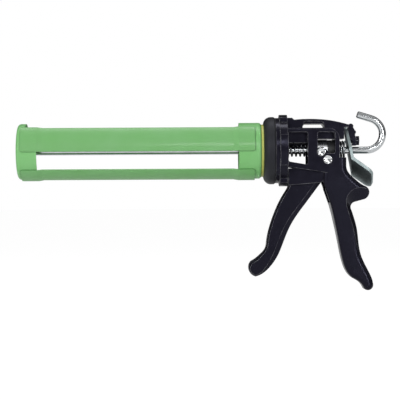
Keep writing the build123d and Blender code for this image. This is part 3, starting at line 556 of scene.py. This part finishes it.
# %% Give the solids their finishes
COLLAR, COLLAR_GREY = (0.019, 0.02, 0.021), (0.027, 0.028, 0.029)
BUSH_BLACK, BUSH_GREY = (0.018, 0.018, 0.02), (0.026, 0.026, 0.028)
WASHER_YELLOW, WASHER_DEEP = (0.60, 0.62, 0.15), (0.52, 0.55, 0.11)
ALONG_X = (0.04, 1, 1)
ACROSS_X = (1, 0.15, 0.15)
cap_paint = make_cradle_paint("cap_paint", 1.0)
rail_paint_shaded = make_cradle_paint("rail_paint_shaded", RAIL_SHADE_FACTOR)
body_coat = make_black_coat("body_coat", COAT, COAT_GREY, 0.20, 0.28, 1500)
collar_coat = make_black_coat("collar_coat", COLLAR, COLLAR_GREY, 0.46, 0.56, 1300)
rod_zinc = make_bright_metal("rod_zinc", ZINC, ZINC_CLOUD, ALONG_X, 0.15, 0.17)
round_off_rod(rod_zinc)
turned_zinc = make_bright_metal("turned_zinc", BRIGHT_ZINC, ZINC, ACROSS_X, 0.24, 0.36)
pivot_zinc, stud_zinc = (
    make_bright_metal(name, BRIGHT_ZINC, ZINC, (1, 0.15, 1), 0.08, 0.16, 0.04, centre)
    for name, centre in (("pivot_zinc", PIVOT_CENTRE), ("stud_zinc", STUD_CENTRE))
)
stamped_zinc = make_bright_metal("stamped_zinc", ZINC, ZINC_CLOUD, ACROSS_X, 0.08, 0.18)
spring_wire = make_bright_metal("spring_wire", SPRING_WIRE, SPRING_DARK, ALONG_X, 0.14, 0.26)
lever_zinc = make_bright_metal("lever_zinc", LEVER_ZINC, LEVER_CLOUD, (1, 0.1, 1), 0.44, 0.56, 0.2)
bush_plastic = make_plastic("bush_plastic", BUSH_BLACK, BUSH_GREY, 0.42, 0.55)
washer_plastic = make_plastic("washer_plastic", WASHER_YELLOW, WASHER_DEEP, 0.36, 0.5)
FINISHES = {
    cap_paint: ("front_cap", "rear_cap"),
    rail_paint_shaded: ("upper_rail", "lower_rail"),
    body_coat: ("body_casting", "trigger", "stop_screw"),
    collar_coat: ("swivel_collar",),
    rod_zinc: ("push_rod",),
    turned_zinc: ("drive_sleeve",),
    pivot_zinc: ("trigger_pivot_pin",),
    stud_zinc: ("drive_studs",),
    stamped_zinc: (
        "cradle_retainer", "retainer_screws", "collar_screws", "spring_seat_washer",
        "plunger_dish", "plunger_backing_plate", "plunger_front_nut", "plunger_rear_nut",
    ),
    spring_wire: ("drive_spring", "release_spring", "front_gripping_plate", "rear_gripping_plate"),
    lever_zinc: ("release_lever",),
    bush_plastic: ("front_rod_bush", "rear_rod_bush"),
    washer_plastic: ("thrust_washer",),
}
for finish, names in FINISHES.items():
    for name in names:
        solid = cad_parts[name]
        solid.data.materials.clear()
        solid.data.materials.append(finish)
print("finished:", sum(len(names) for names in FINISHES.values()), "of", len(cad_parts))

# %% [markdown]
# The two springs are wound wire. A helix follows a rule, so Geometry Nodes draw it: a straight
# line of points is bent into a coil by its own index, a circle is swept along it, and the result
# is kept as a plain mesh. The coils stand for the solids' springs and ride on the frame.

# %% Springs by Geometry Nodes
def math_node(tree, operation, first, second=None):
    """One math node; a plain number becomes its default."""
    made = node(tree, "ShaderNodeMath", operation=operation)
    for slot, value in zip(made.inputs, (first, second)):
        if isinstance(value, (int, float)):
            slot.default_value = value
        elif value is not None:
            tree.links.new(value, slot)
    return made.outputs[0]


COIL_SIZES = ("Start", "End", "Coil Radius", "Wire Radius", "Turns", "Start Angle")
COIL_STEPS = 220
WIRE_SIDES = 20


def make_coil_tree(wire_finish):
    """A tree that winds a wire round the X axis between two places."""
    tree = bpy.data.node_groups.new("wound_spring", "GeometryNodeTree")
    for name in COIL_SIZES:
        tree.interface.new_socket(name, in_out="INPUT", socket_type="NodeSocketFloat")
    tree.interface.new_socket("Geometry", in_out="OUTPUT", socket_type="NodeSocketGeometry")
    given = node(tree, "NodeGroupInput").outputs
    line = node(tree, "GeometryNodeCurvePrimitiveLine")
    points = node(tree, "GeometryNodeResampleCurve")
    points.inputs["Count"].default_value = COIL_STEPS
    share = math_node(tree, "DIVIDE", node(tree, "GeometryNodeInputIndex").outputs[0], COIL_STEPS - 1)
    turned = math_node(tree, "MULTIPLY", math_node(tree, "MULTIPLY", share, given["Turns"]), 2 * pi)
    angle = math_node(tree, "ADD", turned, given["Start Angle"])
    length = math_node(tree, "SUBTRACT", given["End"], given["Start"])
    along = math_node(tree, "ADD", math_node(tree, "MULTIPLY", share, length), given["Start"])
    across = math_node(tree, "MULTIPLY", math_node(tree, "SINE", angle), given["Coil Radius"])
    up = math_node(tree, "MULTIPLY", math_node(tree, "COSINE", angle), given["Coil Radius"])
    spot = node(tree, "ShaderNodeCombineXYZ")
    tree.links.new(along, spot.inputs[0])
    tree.links.new(math_node(tree, "MULTIPLY", across, -1.0), spot.inputs[1])
    tree.links.new(up, spot.inputs[2])
    bend = node(tree, "GeometryNodeSetPosition")
    circle = node(tree, "GeometryNodeCurvePrimitiveCircle")
    circle.inputs["Resolution"].default_value = WIRE_SIDES
    tree.links.new(given["Wire Radius"], circle.inputs["Radius"])
    tube = node(tree, "GeometryNodeCurveToMesh")
    tube.inputs["Fill Caps"].default_value = True
    smooth = node(tree, "GeometryNodeSetShadeSmooth")
    real = node(tree, "GeometryNodeRealizeInstances")
    paint = node(tree, "GeometryNodeSetMaterial")
    paint.inputs["Material"].default_value = wire_finish
    chain = (line, points, bend, tube, smooth, real, paint)
    for first, second in zip(chain, chain[1:]):
        tree.links.new(first.outputs[0], second.inputs[0])
    tree.links.new(spot.outputs[0], bend.inputs["Position"])
    tree.links.new(circle.outputs[0], tube.inputs["Profile Curve"])
    tree.links.new(paint.outputs[0], node(tree, "NodeGroupOutput").inputs[0])
    return tree


def wind_spring(name, tree, sizes):
    """Run the coil tree with these sizes and keep the result as a plain mesh."""
    holder = bpy.data.objects.new(name, bpy.data.meshes.new(name + "_seed"))
    scene.collection.objects.link(holder)
    winding = holder.modifiers.new("winding", "NODES")
    winding.node_group = tree
    inputs = [item for item in tree.interface.items_tree if item.in_out == "INPUT"]
    for item in inputs:
        winding[item.identifier] = float(sizes[item.name])
    graph = bpy.context.evaluated_depsgraph_get()
    mesh = bpy.data.meshes.new_from_object(holder.evaluated_get(graph))
    holder.modifiers.clear()
    holder.data = mesh
    return holder


WIRE = 1.9
coil_tree = make_coil_tree(spring_wire)
SPRINGS = {
    "drive_spring": dict(turns=4.5, angle=0.0, radius=5.3, joint="drive_slide", travel=3.27),
    "release_spring": dict(turns=2.25, angle=-90.0, radius=8.8, joint="release_tilt", travel=0.9),
}
for name, plan in SPRINGS.items():
    low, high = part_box(name)
    inset = WIRE / 2 * MM
    coil = wind_spring("wound_" + name, coil_tree, {
        "Start": low[0] + inset, "End": high[0] - inset, "Coil Radius": plan["radius"] * MM,
        "Wire Radius": inset, "Turns": plan["turns"], "Start Angle": radians(plan["angle"]),
    })
    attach(coil, "frame")
    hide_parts(name)
    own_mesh(coil)
